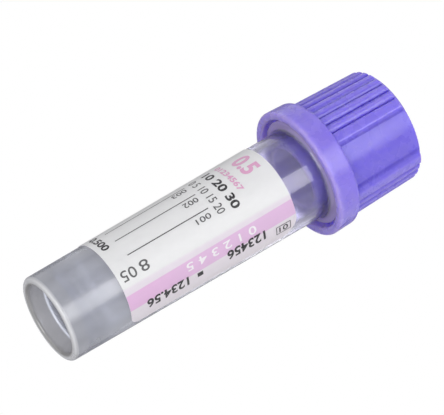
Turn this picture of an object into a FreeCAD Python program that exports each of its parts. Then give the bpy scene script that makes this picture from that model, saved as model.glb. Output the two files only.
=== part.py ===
import FreeCAD, Part
import math
import os

# A 0.5 ml capillary blood collection tube: a semi-clear tube that stands on its
# skirted base, the label wrapped round it, and a push-on cap whose hollow plug
# stops the mouth. Millimetres, +Z up the tube's axis, origin at the middle of
# the base ring. The label's printed side faces -Y.

Vector = FreeCAD.Vector
Z_AXIS = Vector(0, 0, 1)

# Tube body
base_radius = 5.17        # outside, where the wall meets the base ring
top_radius = 5.5          # outside, at the flange and along the neck
wall = 0.95
floor_thickness = 1.1
floor_round = 2.2         # inside corner between floor and wall
neck_height = 9.05        # flange top to the mouth's lip

# Recess under the base
recess_depth = 2.2
skirt_wall = 0.92
recess_taper = 0.15       # the recess is this much narrower at its floor
base_edge = 0.38          # rounding of the skirt's outer edge
recess_edge = 0.32        # and of its inner edge, so the tube stands on a round lip

# Flange that the cap seats on
flange_height = 34.7      # base ring to the flange's underside
flange_overhang = 1.07
flange_thickness = 1.05
flange_flare = 0.75       # concave round between wall and flange
small_edge = 0.15
lip_edge = 0.3

# Cap
collar_gap = 0.33         # flange rim to collar, all round
collar_wall = 0.97
collar_lap = 0.6          # the collar reaches this far below the flange
collar_height = 3.0
collar_draft = 2.2        # degrees, narrower towards the grip
collar_front_edge = 0.35
collar_mouth_edge = 0.3
collar_back_edge = 0.4
seat_gap = 0.05           # flange top to the cap's shoulder
skirt_gap = 0.08          # neck to the cap's skirt, all round
grip_wall = 1.25
grip_draft = 1.5          # degrees a side
grip_end_edge = 0.2
cap_top = 1.6             # thickness over the plug's hollow
mouth_gap = 0.4           # lip to the cap's ceiling
gate_radius = 1.3         # shallow dimple in the cap's top, where it was moulded
gate_depth = 0.25
gate_stub_radius = 0.45   # the trimmed stub in its middle
gate_stub_height = 0.15

# Plug inside the cap
plug_gap = 0.05           # plug to bore, all round
plug_wall = 0.9
plug_length = 11.9        # from the cap's ceiling
plug_spare = 1.1          # straight bore left below the plug's end
plug_lead_length = 1.2
plug_lead = 0.35          # the plug is this much slimmer at its end

# Ribs on the cap's grip: two groups, with a smooth thumb panel between them
rib_height = 0.37
rib_count = 10            # rounded ribs in a group, between its two flat lands
land_angle = 10.2
gentle_flank = 9.5        # degrees the group takes to rise from one panel
steep_flank = 4.7         # and to fall to the next
panel_angle = 41.2        # smooth panel, from flank to flank
panel_turn = 18.6         # middle of the front panel, from the label's front
land_edge = 0.3           # rounding where a land meets its flank
rib_end_gap = 0.25        # the ribs stop this far short of the cap's top
rib_end_edge = 0.25

# Label
label_height = 22.45
label_drop = 4.95         # flange's underside to the label's top
label_thickness = 0.06
label_gap = 0.02          # adhesive
label_angle = 300.0       # how far the label goes round the tube
label_edge_angle = 70.0   # its right-hand edge, from the label's front
label_low_corner = 1.2
label_high_corner = 2.6

# Heights and radii that follow from these
flange_radius = top_radius + flange_overhang
flange_top = flange_height + flange_thickness
tube_height = flange_top + neck_height
bore_radius = top_radius - wall
collar_bore = flange_radius + collar_gap
collar_radius = collar_bore + collar_wall
collar_bottom = flange_height - collar_lap
collar_top = collar_bottom + collar_height
ceiling = tube_height + mouth_gap
cap_height = ceiling + cap_top
grip_height = cap_height - collar_top
plug_end = ceiling - plug_length
skirt_bore = top_radius + skirt_gap
core_radius = skirt_bore + grip_wall
rib_radius = core_radius + rib_height
rib_end = cap_height - rib_end_gap
grip_slope = math.tan(math.radians(grip_draft))
label_top = flange_height - label_drop
label_bottom = label_top - label_height


def tube_outside(height):
    """Outer radius of the tapered wall at a height."""
    return base_radius + (top_radius - base_radius) * height / flange_height


def round_corner(before, corner, after, radius):
    """Start, middle and end of the arc that rounds a corner of an outline."""
    to_before = (before - corner).normalize()
    to_after = (after - corner).normalize()
    half = to_before.getAngle(to_after) / 2
    reach = radius / math.tan(half)
    bisector = (to_before + to_after).normalize()
    centre = corner + bisector * (radius / math.sin(half))
    return corner + to_before * reach, centre - bisector * radius, corner + to_after * reach


def turned(corners):
    """Solid of revolution from (radius, height, rounding) corners, axis to axis."""
    points = [Vector(radius, 0, height) for radius, height, _ in corners]
    edges = []
    last = points[0]
    for index in range(1, len(points)):
        rounding = corners[index][2]
        if rounding > 0:
            start, middle, end = round_corner(points[index - 1], points[index], points[index + 1], rounding)
            edges.append(Part.LineSegment(last, start).toShape())
            edges.append(Part.Arc(start, middle, end).toShape())
            last = end
        else:
            edges.append(Part.LineSegment(last, points[index]).toShape())
            last = points[index]
    edges.append(Part.LineSegment(last, points[0]).toShape())
    return Part.Face(Part.Wire(edges)).revolve(Vector(0, 0, 0), Z_AXIS, 360)


def on_circle(radius, turn, height=0.0):
    """Point at a turn in degrees from the label's front, towards +X."""
    angle = math.radians(turn - 90)
    return Vector(radius * math.cos(angle), radius * math.sin(angle), height)


def make_tube():
    recess_radius = base_radius - skirt_wall
    floor = recess_depth + floor_thickness
    bore_end = plug_end - plug_spare
    return turned([
        (0, recess_depth, 0),
        (recess_radius - recess_taper, recess_depth, 0.3),
        (recess_radius, 0, recess_edge),
        (base_radius, 0, base_edge),
        (top_radius, flange_height, flange_flare),
        (flange_radius, flange_height, small_edge),
        (flange_radius, flange_top, small_edge),
        (top_radius, flange_top, small_edge),
        (top_radius, tube_height, lip_edge),
        (bore_radius, tube_height, lip_edge),
        (bore_radius, bore_end, 0),
        (tube_outside(floor) - wall, floor, floor_round),
        (0, floor, 0),
    ])


def make_cap_body():
    core_top = core_radius - grip_height * grip_slope
    plug_radius = bore_radius - plug_gap
    hollow_radius = plug_radius - plug_wall
    shoulder = flange_top + seat_gap
    gate_floor = cap_height - gate_depth
    collar_back = collar_radius - collar_height * math.tan(math.radians(collar_draft))
    return turned([
        (0, gate_floor + gate_stub_height, 0),
        (gate_stub_radius, gate_floor + gate_stub_height, 0.05),
        (gate_stub_radius, gate_floor, 0),
        (gate_radius, gate_floor, 0.1),
        (gate_radius, cap_height, 0.1),
        (core_top, cap_height, grip_end_edge),
        (core_radius, collar_top, 0.2),
        (collar_back, collar_top, collar_back_edge),
        (collar_radius, collar_bottom, collar_front_edge),
        (collar_bore, collar_bottom, collar_mouth_edge),
        (collar_bore, shoulder, small_edge),
        (skirt_bore, shoulder, small_edge),
        (skirt_bore, ceiling, 0),
        (plug_radius, ceiling, 0),
        (plug_radius, plug_end + plug_lead_length, 0),
        (plug_radius - plug_lead, plug_end, small_edge),
        (hollow_radius, plug_end, small_edge),
        (hollow_radius, ceiling, 0.6),
        (0, ceiling, 0),
    ])


def rib_outline(height, shrink):
    """One group's cross-section: land, ribs, land, closed inside the cap's core."""
    crest = rib_radius - shrink
    groove = core_radius - shrink
    inside = groove - 1.0
    first = panel_turn + panel_angle / 2
    last = panel_turn + 180 - panel_angle / 2
    ribs_from = first + gentle_flank + land_angle
    ribs_to = last - steep_flank - land_angle
    pitch = (ribs_to - ribs_from) / rib_count
    shoulder = pitch * 0.16     # a land rounds into its groove over this angle

    def arc(*ends):
        return Part.Arc(*[on_circle(radius, turn, height) for radius, turn in ends]).toShape()

    def line(*ends):
        return Part.LineSegment(*[on_circle(radius, turn, height) for radius, turn in ends]).toShape()

    def land(groove_turn, edge_turn, foot_turn, way):
        near = groove_turn + way * shoulder
        foot = on_circle(groove, foot_turn, height)
        beside = on_circle(crest, edge_turn - way * 0.5, height)
        start, middle, end = round_corner(beside, on_circle(crest, edge_turn, height), foot, land_edge)
        return [
            arc((groove, groove_turn), (groove + rib_height * 0.72, groove_turn + way * shoulder * 0.4),
                (crest, near)),
            Part.Arc(on_circle(crest, near, height), on_circle(crest, (near + edge_turn) / 2, height),
                     start).toShape(),
            Part.Arc(start, middle, end).toShape(),
            Part.LineSegment(end, foot).toShape(),
            line((groove, foot_turn), (inside, foot_turn)),
        ]

    edges = land(ribs_from, first + gentle_flank, first, -1)
    for rib in range(rib_count):
        turn = ribs_from + rib * pitch
        edges.append(arc((groove, turn), (crest, turn + pitch / 2), (groove, turn + pitch)))
    edges += land(ribs_to, last - steep_flank, last, 1)
    edges.append(arc((inside, first), (inside, (first + last) / 2), (inside, last)))
    return Part.Wire(Part.__sortEdges__(edges))


def make_rib_groups():
    """Both groups of ribs, with the far ends of the ribs rounded off."""
    shrink = (rib_end - collar_top) * grip_slope
    group = Part.makeLoft([rib_outline(collar_top, 0), rib_outline(rib_end, shrink)], True, True)
    spare = 1.0
    envelope = turned([
        (0, rib_end, 0),
        (rib_radius - shrink, rib_end, rib_end_edge),
        (rib_radius + spare * grip_slope, collar_top - spare, 0),
        (0, collar_top - spare, 0),
    ])
    group = envelope.common(group)
    other = group.copy()
    other.rotate(Vector(0, 0, 0), Z_AXIS, 180)
    return [group, other]


def make_cap():
    return make_cap_body().fuse(make_rib_groups()).removeSplitter()


def make_label():
    inner = [Vector(tube_outside(height) + label_gap, 0, height) for height in (label_bottom, label_top)]
    outer = [Vector(point.x + label_thickness, 0, point.z) for point in inner]
    section = Part.Face(Part.makePolygon([inner[0], outer[0], outer[1], inner[1], inner[0]]))
    section.rotate(Vector(0, 0, 0), Z_AXIS, label_edge_angle - 90 - label_angle)
    band = section.revolve(Vector(0, 0, 0), Z_AXIS, label_angle)

    # each corner loses what lies outside a round prism that points out from the axis
    for rise, edge, corner in ((-1, label_bottom, label_low_corner), (1, label_top, label_high_corner)):
        height = edge - rise * corner
        corner_turn = math.degrees(corner / tube_outside(height))
        for way, side in ((1, label_edge_angle), (-1, label_edge_angle - label_angle)):
            square = Part.makeBox(corner * 2, corner * 2, top_radius * 2)
            square.translate(Vector(corner * (way - 1), corner * (rise - 1), 0))
            waste = square.cut(Part.makeCylinder(corner, top_radius * 2))
            # local X goes round the tube, local Y up it and local Z out from the axis
            out = on_circle(1, side - way * corner_turn)
            facing = FreeCAD.Rotation(Z_AXIS.cross(out), Z_AXIS, out, "ZXY")
            waste.Placement = FreeCAD.Placement(Vector(0, 0, height), facing)
            band = band.cut(waste)
    return band


os.makedirs("parts", exist_ok=True)
for node, shape in (("tube", make_tube()), ("cap", make_cap()), ("label", make_label())):
    solid = shape.Solids[0]
    box = solid.BoundBox
    print(node, len(shape.Solids), "solid", solid.isValid(), round(solid.Volume, 2), "mm3",
          [round(value, 2) for value in (box.XMin, box.YMin, box.ZMin, box.XMax, box.YMax, box.ZMax)])
    solid.exportStep("parts/" + node + ".step")
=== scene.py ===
# Looks of the blood collection tube: plastics, label film and print, studio and camera.
import math
import bmesh
import bpy
from mathutils import Matrix, Vector


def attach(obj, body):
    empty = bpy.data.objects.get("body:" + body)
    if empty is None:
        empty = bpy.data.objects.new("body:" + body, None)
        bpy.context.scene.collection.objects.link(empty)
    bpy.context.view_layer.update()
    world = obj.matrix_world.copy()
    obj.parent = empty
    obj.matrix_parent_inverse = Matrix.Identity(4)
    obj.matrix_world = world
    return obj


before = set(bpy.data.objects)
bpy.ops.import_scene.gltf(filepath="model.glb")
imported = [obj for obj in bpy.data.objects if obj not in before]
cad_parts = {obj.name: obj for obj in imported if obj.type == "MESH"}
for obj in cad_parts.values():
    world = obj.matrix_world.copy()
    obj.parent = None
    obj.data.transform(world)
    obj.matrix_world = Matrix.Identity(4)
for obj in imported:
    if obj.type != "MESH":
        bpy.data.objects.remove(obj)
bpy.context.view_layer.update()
tubeNode, capNode, labelNode = (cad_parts[name] for name in ("tube", "cap", "label"))

mm = 0.001
scene = bpy.context.scene
scene.view_settings.view_transform = "Standard"

cameraView = {"place": (0, -0.259267, -0.080957), "yaw": -0.00429, "pitch": 0.38513, "roll": 1.04446,
              "lens": 202.7, "sensor": 36, "nearest": 0.01, "farthest": 20}


def addCamera(view):
    yaw, pitch, roll = view["yaw"], view["pitch"], view["roll"]
    ahead = Vector((math.sin(yaw) * math.cos(pitch), math.cos(yaw) * math.cos(pitch), math.sin(pitch)))
    level = ahead.cross(Vector((0, 0, 1))).normalized()
    above = level.cross(ahead)
    right = math.cos(roll) * level + math.sin(roll) * above
    up = math.cos(roll) * above - math.sin(roll) * level
    camera = bpy.data.objects.new("camera", bpy.data.cameras.new("camera"))
    turned = Matrix((right, up, -ahead)).transposed().to_4x4()
    camera.matrix_world = Matrix.Translation(view["place"]) @ turned
    camera.data.lens = view["lens"]
    camera.data.sensor_width = view["sensor"]
    camera.data.clip_start = view["nearest"]
    camera.data.clip_end = view["farthest"]
    scene.collection.objects.link(camera)
    scene.camera = camera


addCamera(cameraView)
print("camera placed")


# small helpers that every material below is wired with
def newMaterial(name):
    material = bpy.data.materials.new(name)
    material.use_nodes = True
    return material, material.node_tree, material.node_tree.nodes["Principled BSDF"]


def mathNode(tree, operation, first, second=None, third=None, clamp=False):
    node = tree.nodes.new("ShaderNodeMath")
    node.operation = operation
    node.use_clamp = clamp
    for index, value in enumerate((first, second, third)):
        if value is None:
            continue
        if isinstance(value, (int, float)):
            node.inputs[index].default_value = value
        else:
            tree.links.new(value, node.inputs[index])
    return node.outputs[0]


def multiplyNode(tree, first, second):
    return mathNode(tree, "MULTIPLY", first, second)


def mixColor(tree, amount, first, second):
    node = tree.nodes.new("ShaderNodeMix")
    node.data_type = "RGBA"
    for socket, value in ((node.inputs[0], amount), (node.inputs[6], first), (node.inputs[7], second)):
        if isinstance(value, bpy.types.NodeSocket):
            tree.links.new(value, socket)
        elif isinstance(value, (int, float)):
            socket.default_value = value
        else:
            socket.default_value = (*value, 1)
    return node.outputs[2]


def noiseNode(tree, place, scale, detail=3.0, stretch=(1, 1, 1)):
    mapping = tree.nodes.new("ShaderNodeMapping")
    mapping.inputs["Scale"].default_value = stretch
    tree.links.new(place, mapping.inputs["Vector"])
    noise = tree.nodes.new("ShaderNodeTexNoise")
    noise.inputs["Scale"].default_value = scale
    noise.inputs["Detail"].default_value = detail
    tree.links.new(mapping.outputs[0], noise.inputs["Vector"])
    return noise.outputs["Fac"]


def rangeNode(tree, value, low, high, toLow=0.0, toHigh=1.0, smooth=False):
    node = tree.nodes.new("ShaderNodeMapRange")
    node.interpolation_type = "SMOOTHSTEP" if smooth else "LINEAR"
    tree.links.new(value, node.inputs[0])
    for index, number in enumerate((low, high, toLow, toHigh)):
        if isinstance(number, bpy.types.NodeSocket):
            tree.links.new(number, node.inputs[index + 1])
        else:
            node.inputs[index + 1].default_value = number
    return node.outputs[0]


def bumpNode(tree, height, strength, distance, under=None):
    bump = tree.nodes.new("ShaderNodeBump")
    bump.inputs["Strength"].default_value = strength
    bump.inputs["Distance"].default_value = distance
    tree.links.new(height, bump.inputs["Height"])
    if under is not None:
        tree.links.new(under, bump.inputs["Normal"])
    return bump.outputs[0]


def polarNodes(tree, place):
    # distance from the axis, height, and turn in degrees from the label's front
    parts = tree.nodes.new("ShaderNodeSeparateXYZ")
    tree.links.new(place, parts.inputs[0])
    x, y, z = parts.outputs
    squares = mathNode(tree, "ADD", multiplyNode(tree, x, x), multiplyNode(tree, y, y))
    turn = mathNode(tree, "ARCTAN2", x, multiplyNode(tree, y, -1.0))
    return mathNode(tree, "SQRT", squares), z, multiplyNode(tree, turn, 180 / math.pi)


def inMetres(ends):
    return [end * mm for end in ends]


# where most of a noise's values lie
noiseSpan = (0.3, 0.7)

# lengths in millimetres, heights from the base ring; Rise is 0 at the grip's core and 1 at the ribs' crests;
# a noise has a scale per metre, a detail and, where it is drawn out, how much along each axis
capLook = {
    "colour": (0.203, 0.158, 0.73), "deep": (0.190, 0.146, 0.71), "streaks": (0.32, 0.68),
    # painted light: the collar and its rim are coloured paler than the grip
    "collar": (0.275, 0.212, 0.77), "collarFade": (36.5, 37.3),
    "rim": (0.40, 0.325, 0.86), "rimFade": (34.2, 34.9), "rimAcross": (6.0, 6.5),
    # painted light: the collar's mouth and the plug's hollow are coloured paler
    "mouth": (0.62, 0.52, 0.95), "mouthInner": (5.7, 5.8), "mouthOuter": (6.9, 7.0), "mouthTop": 36,
    "plug": (0.42, 0.31, 1.0), "plugMiddle": 3.95, "plugTop": 45.9,
    # painted shade in the grooves and a painted highlight on the ribs' crests
    "groove": (0.105, 0.072, 0.55), "grooveRise": (0.1, 0.6),
    "crest": (0.250, 0.200, 0.78), "crestRise": (0.7, 0.97),
    "gripFoot": 37.1, "gripFade": (37.2, 37.5), "gripRise": (-0.8, -0.2), "core": 6.83, "rib": 0.37,
    "slope": 0.0262, "panelTurn": 18.6, "panelEdge": (0.925, 0.938),
    "roughness": (0.24, 0.31), "gloss": 0.45, "ior": 1.5,
    "subsurface": 1.0, "glowDepth": 0.002, "glowColours": (0.45, 0.4, 1.0),
    "waves": (0.12, 0.00005), "grain": (0.35, 0.00003),
    "cloudNoise": (230, 3, (1, 1, 0.5)), "patchNoise": (700, 3),
    "waveNoise": (900, 2), "grainNoise": (4200, 3),
}


def capMaterial(look):
    material, tree, shader = newMaterial("purplePolyethylene")
    place = tree.nodes.new("ShaderNodeTexCoord").outputs["Object"]
    across, up, turn = polarNodes(tree, place)

    # the melt is never one even shade, and it streaks along the way it filled the mould
    cloud = noiseNode(tree, place, *look["cloudNoise"])
    shade = mixColor(tree, rangeNode(tree, cloud, *look["streaks"]), look["deep"], look["colour"])

    # the thin collar lets light in; here that light is also painted, the collar coloured paler than the
    # thick grip, most of all at its rim as a painted highlight
    thin = rangeNode(tree, up, *inMetres(look["collarFade"]), 1.0, 0.0, smooth=True)
    shade = mixColor(tree, thin, shade, look["collar"])
    rim = multiplyNode(tree, rangeNode(tree, up, *inMetres(look["rimFade"]), 1.0, 0.0, smooth=True),
                       rangeNode(tree, across, *inMetres(look["rimAcross"])))
    shade = mixColor(tree, rim, shade, look["rim"])

    # painted light too: the inside of the collar's mouth and the plug's hollow are coloured paler, standing
    # in for light that reaches into them
    mouth = multiplyNode(tree, rangeNode(tree, across, *inMetres(look["mouthOuter"]), 1.0, 0.0),
                         rangeNode(tree, across, *inMetres(look["mouthInner"])))
    mouth = multiplyNode(tree, mouth, mathNode(tree, "LESS_THAN", up, look["mouthTop"] * mm))
    shade = mixColor(tree, mouth, shade, look["mouth"])
    hollow = multiplyNode(tree, mathNode(tree, "LESS_THAN", across, look["plugMiddle"] * mm),
                          mathNode(tree, "LESS_THAN", up, look["plugTop"] * mm))
    shade = mixColor(tree, hollow, shade, look["plug"])

    # painted shade makes the grooves a deeper purple and a painted highlight makes the ribs' crests paler,
    # away from the two smooth panels
    foot = (look["core"] + look["slope"] * look["gripFoot"]) * mm
    core = mathNode(tree, "MULTIPLY_ADD", up, -look["slope"], foot)
    rise = mathNode(tree, "DIVIDE", mathNode(tree, "SUBTRACT", across, core), look["rib"] * mm)
    swing = multiplyNode(tree, mathNode(tree, "SUBTRACT", turn, look["panelTurn"]), math.pi / 180)
    facing = mathNode(tree, "ABSOLUTE", mathNode(tree, "COSINE", swing))
    ribbed = multiplyNode(tree, rangeNode(tree, facing, *look["panelEdge"], 1.0, 0.0),
                          rangeNode(tree, up, *inMetres(look["gripFade"])))
    ribbed = multiplyNode(tree, ribbed, rangeNode(tree, rise, *look["gripRise"]))
    low = multiplyNode(tree, ribbed, rangeNode(tree, rise, *look["grooveRise"], 1.0, 0.0, smooth=True))
    shade = mixColor(tree, low, shade, look["groove"])
    high = multiplyNode(tree, ribbed, rangeNode(tree, rise, *look["crestRise"], smooth=True))
    tree.links.new(mixColor(tree, high, shade, look["crest"]), shader.inputs["Base Color"])

    patches = noiseNode(tree, place, *look["patchNoise"])
    tree.links.new(rangeNode(tree, patches, *noiseSpan, *look["roughness"]), shader.inputs["Roughness"])
    soft = bumpNode(tree, noiseNode(tree, place, *look["waveNoise"]), *look["waves"])
    fine = bumpNode(tree, noiseNode(tree, place, *look["grainNoise"]), *look["grain"], soft)
    tree.links.new(fine, shader.inputs["Normal"])
    shader.inputs["IOR"].default_value = look["ior"]
    shader.inputs["Specular IOR Level"].default_value = look["gloss"]
    shader.inputs["Subsurface Weight"].default_value = look["subsurface"]
    shader.inputs["Subsurface Radius"].default_value = look["glowColours"]
    shader.inputs["Subsurface Scale"].default_value = look["glowDepth"]
    return material


capNode.data.materials.clear()
capNode.data.materials.append(capMaterial(capLook))
print("cap finished")


# lengths in millimetres; Up is a height, Across a distance from the axis, Depth one in from the outer skin
tubeLook = {
    # painted shade: the hazy foot is coloured a darker grey than the clear wall
    "hazy": (0.55, 0.565, 0.625), "clear": (0.93, 0.93, 0.96), "clearingUp": (4.0, 26.0),
    # partly haze and partly painted light: the base ring's colour is paler than the foot's
    "lip": (0.93, 0.93, 0.96), "lipUp": (0.1, 0.5),
    # painted reflection: the flange and neck colours carry the cap's purple
    "flange": (0.52, 0.42, 0.85), "flangeAcross": (5.52, 5.75),
    "neck": (0.74, 0.715, 0.895), "neckFromUp": (28.5, 30.5), "neckToUp": (35.2, 36.2),
    # painted shade: the recess inside the base is coloured a dark grey
    "hollow": (0.33, 0.325, 0.33), "hollowUp": (1.9, 2.05), "hollowDepth": (0.5, 0.75),
    "footClear": 0.6, "neckClear": 0.91, "flangeClear": 0.35, "lipClear": 0.25, "hollowClear": 0.2,
    "skinLow": 5.17, "skinHigh": 5.5, "skinSpan": 34.7,
    "foot": 0.26, "outside": 0.10, "footUp": (3.0, 12.0),
    "recess": 0.12, "bore": 0.2, "boreUp": (2.6, 3.2), "innerDepth": (0.4, 0.7), "uneven": 0.08,
    "gloss": 0.9, "ior": 1.49, "waves": (0.15, 0.0001), "scuffs": (0.25, 0.00001), "scuffed": (0.62, 0.75),
    "flowNoise": (300, 3, (1, 1, 0.25)), "scuffNoise": (2600, 4, (1, 1, 0.06)),
    "absorb": (0.80, 0.805, 0.84), "density": 500.0,
    "passing": (0.92, 0.5), "passingUp": (28, 31), "passingTint": (0.97, 0.97, 0.98),
}


def tubeMaterial(look):
    material, tree, shader = newMaterial("clearPolypropylene")
    place = tree.nodes.new("ShaderNodeTexCoord").outputs["Object"]
    across, up, turn = polarNodes(tree, place)
    flow = noiseNode(tree, place, *look["flowNoise"])

    # where each part of the moulding is
    clearing = rangeNode(tree, up, *inMetres(look["clearingUp"]))
    flange = rangeNode(tree, across, *inMetres(look["flangeAcross"]))
    lip = rangeNode(tree, up, *inMetres(look["lipUp"]), 1.0, 0.0)
    taper = (look["skinHigh"] - look["skinLow"]) / look["skinSpan"]
    skin = mathNode(tree, "MULTIPLY_ADD", up, taper, look["skinLow"] * mm)
    depth = mathNode(tree, "SUBTRACT", skin, across)
    inner = rangeNode(tree, depth, *inMetres(look["innerDepth"]))
    hollow = multiplyNode(tree, rangeNode(tree, up, *inMetres(look["hollowUp"]), 1.0, 0.0),
                          rangeNode(tree, depth, *inMetres(look["hollowDepth"])))
    neck = multiplyNode(tree, rangeNode(tree, up, *inMetres(look["neckFromUp"])),
                        rangeNode(tree, up, *inMetres(look["neckToUp"]), 1.0, 0.0))

    # painted reflection: the wall between label and flange, and the flange itself, are coloured with the
    # cap's purple
    # painted shade: the hazy foot's colour is a darker grey than the clear wall above it
    tint = mixColor(tree, clearing, look["hazy"], look["clear"])
    tint = mixColor(tree, neck, tint, look["neck"])
    # painted light, besides the haze of the thick ring: the base ring is coloured paler than the foot
    tint = mixColor(tree, lip, tint, look["lip"])
    tint = mixColor(tree, flange, tint, look["flange"])
    # painted shade: the recess round the base is coloured a dark grey
    tree.links.new(mixColor(tree, hollow, tint, look["hollow"]), shader.inputs["Base Color"])

    # thick plastic round the recess and in the flange is hazier than the even wall between
    footClear = look["footClear"]
    clear = mathNode(tree, "MULTIPLY_ADD", clearing, look["neckClear"] - footClear, footClear)
    clear = mathNode(tree, "MULTIPLY_ADD", flange, look["flangeClear"] - look["neckClear"], clear)
    clear = mathNode(tree, "MULTIPLY_ADD", lip, look["lipClear"] - footClear, clear)
    clear = mathNode(tree, "MULTIPLY_ADD", hollow, look["hollowClear"] - footClear, clear, clamp=True)
    tree.links.new(clear, shader.inputs["Transmission Weight"])

    # polished outside, and a bore and recess that came off duller cores
    foot = rangeNode(tree, up, *inMetres(look["footUp"]), look["foot"], look["outside"])
    core = rangeNode(tree, up, *inMetres(look["boreUp"]), look["recess"], look["bore"])
    outside = multiplyNode(tree, mathNode(tree, "SUBTRACT", 1.0, inner), foot)
    base = mathNode(tree, "ADD", multiplyNode(tree, inner, core), outside)
    base = mathNode(tree, "SUBTRACT", base, look["uneven"] / 2)
    tree.links.new(mathNode(tree, "MULTIPLY_ADD", flow, look["uneven"], base), shader.inputs["Roughness"])
    shader.inputs["Specular IOR Level"].default_value = look["gloss"]
    shader.inputs["IOR"].default_value = look["ior"]
    scuffs = rangeNode(tree, noiseNode(tree, place, *look["scuffNoise"]), *look["scuffed"])
    soft = bumpNode(tree, flow, *look["waves"])
    tree.links.new(bumpNode(tree, scuffs, *look["scuffs"], soft), shader.inputs["Normal"])

    # the plastic itself is faintly grey, so the wall darkens where it is seen edge on
    body = tree.nodes.new("ShaderNodeVolumeAbsorption")
    body.inputs["Color"].default_value = (*look["absorb"], 1)
    body.inputs["Density"].default_value = look["density"]
    tree.links.new(body.outputs[0], tree.nodes["Material Output"].inputs["Volume"])

    # light from the lamps goes on through the wall to the plug and the back of the label
    shadow = tree.nodes.new("ShaderNodeLightPath").outputs["Is Shadow Ray"]
    letThrough = rangeNode(tree, up, *inMetres(look["passingUp"]), *look["passing"])
    through = tree.nodes.new("ShaderNodeBsdfTransparent")
    through.inputs["Color"].default_value = (*look["passingTint"], 1)
    wall = tree.nodes.new("ShaderNodeMixShader")
    tree.links.new(multiplyNode(tree, shadow, letThrough), wall.inputs[0])
    tree.links.new(shader.outputs[0], wall.inputs[1])
    tree.links.new(through.outputs[0], wall.inputs[2])
    tree.links.new(wall.outputs[0], tree.nodes["Material Output"].inputs["Surface"])
    return material


tubeNode.data.materials.clear()
tubeNode.data.materials.append(tubeMaterial(tubeLook))
print("tube finished")


# turns in degrees from the label's front, heights in millimetres; each band has a turn at foot and top
labelLook = {
    "paper": (0.80, 0.798, 0.812), "tinted": (0.79, 0.725, 0.795),
    "fade": (0.775, 0.70, 0.785), "fadeTurn": (12.0, 17.0),
    "band": (0.745, 0.50, 0.735), "bandLow": (0.77, 0.485, 0.735), "bandBlend": (0.1, 0.45),
    "bandStart": (23.3, 20.3), "bandEnd": (44.3, 40.3), "softEdge": (-0.5, 0.5), "backTurn": (84.0, 86.0),
    # painted shade and painted glow: a darker grey for the film's inner side, which also glows
    "glue": (0.64, 0.63, 0.67), "glueAcross": 5.22, "taper": 0.33 / 34.7, "throughFilm": 0.3,
    "low": 7.3, "high": 29.75, "fibreShade": (0.975, 1.0), "roughness": (0.37, 0.47),
    "fibres": (0.2, 0.00002), "fibreNoise": (1500, 4, (1, 1, 0.6)), "gloss": 0.35,
    "subsurface": 0.5, "glowDepth": 0.0002, "glowColours": (1, 0.97, 1),
}


def labelMaterial(look):
    material, tree, shader = newMaterial("labelFilm")
    place = tree.nodes.new("ShaderNodeTexCoord").outputs["Object"]
    across, up, turn = polarNodes(tree, place)
    height = rangeNode(tree, up, look["low"] * mm, look["high"] * mm)

    # how far a turn is past a line that leans from its foot to its top
    def pastLine(ends):
        line = mathNode(tree, "MULTIPLY_ADD", height, ends[1] - ends[0], ends[0])
        return rangeNode(tree, mathNode(tree, "SUBTRACT", turn, line), *look["softEdge"], smooth=True)

    fading = rangeNode(tree, turn, *look["fadeTurn"], smooth=True)
    pale = mixColor(tree, fading, look["paper"], look["fade"])
    pink = mixColor(tree, rangeNode(tree, height, *look["bandBlend"]), look["bandLow"], look["band"])
    film = mixColor(tree, pastLine(look["bandStart"]), pale, pink)
    film = mixColor(tree, pastLine(look["bandEnd"]), film, look["tinted"])
    # the back of the film has no bands
    behind = rangeNode(tree, mathNode(tree, "ABSOLUTE", turn), *look["backTurn"])
    film = mixColor(tree, behind, film, look["paper"])
    # painted shade: the film's side against the tube is coloured a darker grey
    middle = mathNode(tree, "MULTIPLY_ADD", up, look["taper"], look["glueAcross"] * mm)
    outer = mathNode(tree, "GREATER_THAN", across, middle)
    film = mixColor(tree, outer, look["glue"], film)
    # painted glow: the film's side against the tube emits light, standing in for daylight that comes through
    # the thin film and lights the inside of the tube
    tree.links.new(mixColor(tree, outer, look["glue"], (0, 0, 0)), shader.inputs["Emission Color"])
    shader.inputs["Emission Strength"].default_value = look["throughFilm"]

    fibres = noiseNode(tree, place, *look["fibreNoise"])
    tone = tree.nodes.new("ShaderNodeMix")
    tone.data_type = "RGBA"
    tone.blend_type = "MULTIPLY"
    tone.inputs[0].default_value = 1.0
    tree.links.new(film, tone.inputs[6])
    tree.links.new(rangeNode(tree, fibres, *noiseSpan, *look["fibreShade"]), tone.inputs[7])
    tree.links.new(tone.outputs[2], shader.inputs["Base Color"])
    tree.links.new(rangeNode(tree, fibres, *noiseSpan, *look["roughness"]), shader.inputs["Roughness"])
    tree.links.new(bumpNode(tree, fibres, *look["fibres"]), shader.inputs["Normal"])
    shader.inputs["Specular IOR Level"].default_value = look["gloss"]
    shader.inputs["Subsurface Weight"].default_value = look["subsurface"]
    shader.inputs["Subsurface Radius"].default_value = look["glowColours"]
    shader.inputs["Subsurface Scale"].default_value = look["glowDepth"]
    return material


labelNode.data.materials.clear()
labelNode.data.materials.append(labelMaterial(labelLook))
print("label film finished")


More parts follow.
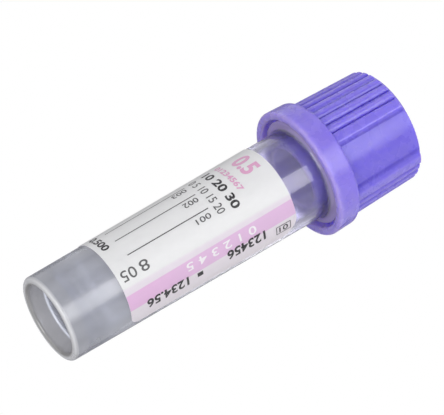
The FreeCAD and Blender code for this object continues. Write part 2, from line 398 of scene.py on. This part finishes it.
# plain numbers stand where a printed label has words; heights and lengths in millimetres, turns in degrees
printLook = {
    "lift": 0.01, "strip": 2.5, "firstTurn": -80.0, "lastTurn": 72, "curveSteps": 4,
    "gloss": 0.35, "roughness": (0.34, 0.46), "thin": 0.10, "film": 0.8,
    "speckleNoise": (6000, 3), "speckled": (0.45, 0.75),
    "inks": {"black": (0.022, 0.020, 0.024), "grey": (0.075, 0.073, 0.080), "pink": (0.70, 0.36, 0.56),
             "white": (0.86, 0.82, 0.87)},
    "round": [  # figures that read round the tube: text, ink, bold, first turn, last turn, foot, height
        ("0.5", "pink", 0.035, -62, -31, 26.45, 2.35),
        ("01234567", "pink", 0.03, -70, -17.5, 24.72, 0.78),
        ("10 20 30", "black", 0.03, -69.5, -2.5, 22.95, 1.12),
        ("0 5 10 15 20", "grey", 0.004, -70.5, -6, 21.15, 1.03),
        ("0.500", "black", 0.03, -76, -39.5, 7.93, 0.98),
    ],
    "down": [  # figures that read down the tube: text, ink, bold, foot turn, top turn, start, end
        ("001", "grey", 0.008, -14.6, -7.6, 20.4, 18.5),
        ("002", "grey", 0.008, -40.5, -33.0, 20.4, 18.5),
        ("003", "grey", 0.008, -64.5, -57.0, 20.4, 18.5),
        ("0 1 2 3 4 5", "white", 0.012, 25.3, 35.6, 24.5, 15.1),
        ("123456", "black", 0.028, 38.6, 52.2, 25.45, 20.25),
        ("1234.56", "black", 0.028, 41.2, 54.6, 15.0, 9.45),
        ("01", "black", 0.012, 47.0, 55.0, 28.5, 27.3),
        ("8", "grey", 0.004, -6.0, 7.5, 11.35, 10.25),
        ("05", "grey", 0.004, -6.0, 7.5, 9.7, 7.8),
    ],
    "rules": [(-19.3, 20.6, 9.8), (-44.5, 20.6, 9.8), (-67.5, 20.6, 9.8)], "ruleWidth": 0.12,
    "box": (45.0, 57.0, 26.9, 28.9), "boxLine": 0.09, "mark": (44.6, 50.6, 16.15, 16.9),
}


def labelSkin(node):
    # outer radius of the film at its lower and upper edge
    points = [(vertex.co.z, math.hypot(vertex.co.x, vertex.co.y)) for vertex in node.data.vertices]
    low, high = min(z for z, r in points), max(z for z, r in points)
    return [(z, max(r for height, r in points if abs(height - z) < 0.05 * mm)) for z in (low, high)]


def figureMesh(text, bold, steps):
    curve = bpy.data.curves.new("figures", "FONT")
    curve.body = text
    curve.offset = bold
    curve.resolution_u = steps
    holder = bpy.data.objects.new("figures", curve)
    scene.collection.objects.link(holder)
    bpy.context.view_layer.update()
    mesh = bpy.data.meshes.new_from_object(holder.evaluated_get(bpy.context.evaluated_depsgraph_get()))
    bpy.data.objects.remove(holder)
    bpy.data.curves.remove(curve)
    return mesh


def fittedFlat(mesh):
    # corners of the figures in a unit square, and their faces
    xs, ys = [v.co.x for v in mesh.vertices], [v.co.y for v in mesh.vertices]
    left, wide, foot, tall = min(xs), max(xs) - min(xs), min(ys), max(ys) - min(ys)
    corners = [((x - left) / wide, (y - foot) / tall) for x, y in zip(xs, ys)]
    return corners, [tuple(polygon.vertices) for polygon in mesh.polygons]


def makeLabelPrint(look, skin):
    bm = bmesh.new()
    inkNames = list(look["inks"])
    square = ([(0, 0), (1, 0), (1, 1), (0, 1)], [(0, 1, 2, 3)])

    def addFlat(shape, ink, place):
        corners, faces = shape
        made = [bm.verts.new((*place(u, v), 0)) for u, v in corners]
        for face in faces:
            bm.faces.new([made[index] for index in face]).material_index = inkNames.index(ink)

    def addStrip(ink, fromTurn, toTurn, low, high):
        addFlat(square, ink, lambda u, v: (fromTurn + (toTurn - fromTurn) * u, low + (high - low) * v))

    for text, ink, bold, fromTurn, toTurn, foot, height in look["round"]:
        shape = fittedFlat(figureMesh(text, bold, look["curveSteps"]))
        addFlat(shape, ink, lambda u, v: (fromTurn + (toTurn - fromTurn) * u, foot + height * v))
    for text, ink, bold, footTurn, topTurn, start, end in look["down"]:
        shape = fittedFlat(figureMesh(text, bold, look["curveSteps"]))
        addFlat(shape, ink, lambda u, v: (footTurn + (topTurn - footTurn) * v, start + (end - start) * u))
    degree = math.degrees(mm / skin[1][1])  # turn of one millimetre round the film
    for turn, high, low in look["rules"]:
        half = look["ruleWidth"] / 2 * degree
        addStrip("grey", turn - half, turn + half, low, high)
    left, right, low, high = look["box"]
    line = look["boxLine"]
    addStrip("black", left, right, low, low + line)
    addStrip("black", left, right, high - line, high)
    addStrip("black", left, left + line * degree, low + line, high - line)
    addStrip("black", right - line * degree, right, low + line, high - line)
    addStrip("black", *look["mark"])

    # cut the flat print into narrow strips, then bend it on to the film
    turn = look["firstTurn"]
    while turn < look["lastTurn"]:
        bmesh.ops.bisect_plane(bm, geom=bm.verts[:] + bm.edges[:] + bm.faces[:], dist=1e-6,
                               plane_co=(turn, 0, 0), plane_no=(1, 0, 0))
        turn += look["strip"]
    (lowZ, lowR), (highZ, highR) = skin
    for vertex in bm.verts:
        turn, height = math.radians(vertex.co.x), vertex.co.y * mm
        radius = lowR + (highR - lowR) * (height - lowZ) / (highZ - lowZ) + look["lift"] * mm
        vertex.co = (radius * math.sin(turn), -radius * math.cos(turn), height)
    mesh = bpy.data.meshes.new("labelPrint")
    bm.to_mesh(mesh)
    bm.free()
    piece = bpy.data.objects.new("labelPrint", mesh)
    scene.collection.objects.link(piece)
    for name, colour in look["inks"].items():
        mesh.materials.append(inkMaterial(name, colour, look))
    return piece


def inkMaterial(name, colour, look):
    material, tree, shader = newMaterial(name + "Ink")
    place = tree.nodes.new("ShaderNodeTexCoord").outputs["Object"]
    # a thin coat of ink lets a little of the film show through
    speckle = noiseNode(tree, place, *look["speckleNoise"])
    pale = tuple(part + (look["film"] - part) * look["thin"] for part in colour)
    coat = mixColor(tree, rangeNode(tree, speckle, *look["speckled"]), colour, pale)
    tree.links.new(coat, shader.inputs["Base Color"])
    tree.links.new(rangeNode(tree, speckle, *noiseSpan, *look["roughness"]), shader.inputs["Roughness"])
    shader.inputs["Specular IOR Level"].default_value = look["gloss"]
    return material


labelPrint = makeLabelPrint(printLook, labelSkin(labelNode))
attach(labelPrint, "tube")
print("label print finished", len(labelPrint.data.polygons), "faces")


# turns from the label's front, heights above level, sizes in metres; radiance is what a softbox shows
softboxes = {
    "keyLight": {"azimuth": 10, "elevation": 21, "distance": 0.5, "size": (0.34, 0.30), "radiance": 4.6},
    "underLight": {"azimuth": -10, "elevation": -48, "distance": 0.5, "size": (0.3, 0.3), "radiance": 3.8},
    "backLight": {"azimuth": 170, "elevation": 35, "distance": 0.6, "size": (0.6, 0.6), "radiance": 1.5},
    "leftLight": {"azimuth": -114, "elevation": 16, "distance": 0.4, "size": (0.34, 0.36), "radiance": 0.9,
                  "through": False},
    "rightLight": {"azimuth": 112, "elevation": 16, "distance": 0.4, "size": (0.34, 0.36), "radiance": 0.8,
                   "through": False},
}
# grey cards that only reflections see, and the clear wall too where through is set
cards = {
    "leftCard": {"azimuth": -115, "elevation": 10, "distance": 0.5, "size": (0.6, 0.8),
                 "colour": (0.32, 0.32, 0.34), "through": True},
    "rightCard": {"azimuth": 115, "elevation": 10, "distance": 0.5, "size": (0.6, 0.8),
                  "colour": (0.32, 0.32, 0.34), "through": True},
    "frontCard": {"azimuth": 0, "elevation": 8, "distance": 0.9, "size": (1.9, 1.9),
                  "colour": (0.40, 0.40, 0.42), "through": False},
    "rearCard": {"azimuth": 180, "elevation": 5, "distance": 0.4, "size": (0.9, 1.0),
                 "colour": (0.40, 0.40, 0.42), "through": False},
}
studio = {"fill": 0.36, "white": 1.0, "aim": (0, 0, 0.024), "cardRoughness": 0.9,
          "floorWidth": 6.0, "floorColour": 0.66, "floorGlow": 0.32, "floorRoughness": 0.8,
          "floorFade": (0.10, 0.42)}


def addWorld(settings):
    world = bpy.data.worlds.new("studio")
    world.use_nodes = True
    tree = world.node_tree
    tree.nodes.clear()
    rays = tree.nodes.new("ShaderNodeLightPath")
    bent = mathNode(tree, "MAXIMUM", rays.outputs["Is Glossy Ray"], rays.outputs["Is Transmission Ray"])
    seen = mathNode(tree, "MAXIMUM", rays.outputs["Is Camera Ray"], bent)
    backgrounds = []
    for strength in (settings["fill"], settings["white"]):
        background = tree.nodes.new("ShaderNodeBackground")
        background.inputs["Color"].default_value = (1, 1, 1, 1)
        background.inputs["Strength"].default_value = strength
        backgrounds.append(background)
    mix = tree.nodes.new("ShaderNodeMixShader")
    tree.links.new(seen, mix.inputs[0])
    tree.links.new(backgrounds[0].outputs[0], mix.inputs[1])
    tree.links.new(backgrounds[1].outputs[0], mix.inputs[2])
    output = tree.nodes.new("ShaderNodeOutputWorld")
    tree.links.new(mix.outputs[0], output.inputs[0])
    scene.world = world


def outward(settings):
    azimuth, elevation = math.radians(settings["azimuth"]), math.radians(settings["elevation"])
    return Vector((math.sin(azimuth) * math.cos(elevation), -math.cos(azimuth) * math.cos(elevation),
                   math.sin(elevation)))


def faceTube(holder, settings):
    out = outward(settings)
    holder.location = Vector(studio["aim"]) + out * settings["distance"]
    holder.rotation_mode = "QUATERNION"
    holder.rotation_quaternion = out.to_track_quat("Z", "Y")
    holder.visible_camera = False
    holder.visible_transmission = settings.get("through", True)
    scene.collection.objects.link(holder)


def addSheet(name, width, depth):
    x, y = width / 2, depth / 2
    mesh = bpy.data.meshes.new(name)
    mesh.from_pydata([(-x, -y, 0), (x, -y, 0), (x, y, 0), (-x, y, 0)], [], [(0, 1, 2, 3)])
    return bpy.data.objects.new(name, mesh)


def addSoftbox(name, settings):
    lamp = bpy.data.lights.new(name, "AREA")
    lamp.shape = "RECTANGLE"
    lamp.size, lamp.size_y = settings["size"]
    lamp.energy = settings["radiance"] * math.pi * lamp.size * lamp.size_y
    faceTube(bpy.data.objects.new(name, lamp), settings)


def addCard(name, settings):
    card = addSheet(name, *settings["size"])
    faceTube(card, settings)
    material, tree, shader = newMaterial(name)
    shader.inputs["Base Color"].default_value = (*settings["colour"], 1)
    shader.inputs["Roughness"].default_value = studio["cardRoughness"]
    card.data.materials.append(material)
    card.visible_shadow = False
    card.visible_diffuse = False


def addFloor(settings):
    floor = addSheet("floor", settings["floorWidth"], settings["floorWidth"])
    scene.collection.objects.link(floor)
    material, tree, shader = newMaterial("palePaper")
    place = tree.nodes.new("ShaderNodeTexCoord").outputs["Object"]
    across, up, turn = polarNodes(tree, place)
    fade = settings["floorFade"]
    grey = rangeNode(tree, across, *fade, settings["floorColour"], 0.0, smooth=True)
    tree.links.new(grey, shader.inputs["Base Color"])
    shader.inputs["Roughness"].default_value = settings["floorRoughness"]
    shader.inputs["Specular IOR Level"].default_value = 0.0
    # white paper that runs out into the white backdrop, and still takes the shadow
    shader.inputs["Emission Color"].default_value = (1, 1, 1, 1)
    glow = rangeNode(tree, across, *fade, settings["floorGlow"], settings["white"], smooth=True)
    seen = tree.nodes.new("ShaderNodeLightPath").outputs["Is Camera Ray"]
    tree.links.new(multiplyNode(tree, glow, seen), shader.inputs["Emission Strength"])
    # the sheet is one-sided: from underneath it isn't there
    facing = tree.nodes.new("ShaderNodeNewGeometry").outputs["Backfacing"]
    clear = tree.nodes.new("ShaderNodeBsdfTransparent")
    mix = tree.nodes.new("ShaderNodeMixShader")
    tree.links.new(facing, mix.inputs[0])
    tree.links.new(shader.outputs[0], mix.inputs[1])
    tree.links.new(clear.outputs[0], mix.inputs[2])
    tree.links.new(mix.outputs[0], tree.nodes["Material Output"].inputs["Surface"])
    floor.data.materials.append(material)
    floor.visible_shadow = False
    floor.visible_diffuse = False
    floor.visible_glossy = False
    floor.visible_transmission = False


addWorld(studio)
for name, settings in softboxes.items():
    addSoftbox(name, settings)
for name, settings in cards.items():
    addCard(name, settings)
addFloor(studio)
print("studio built")
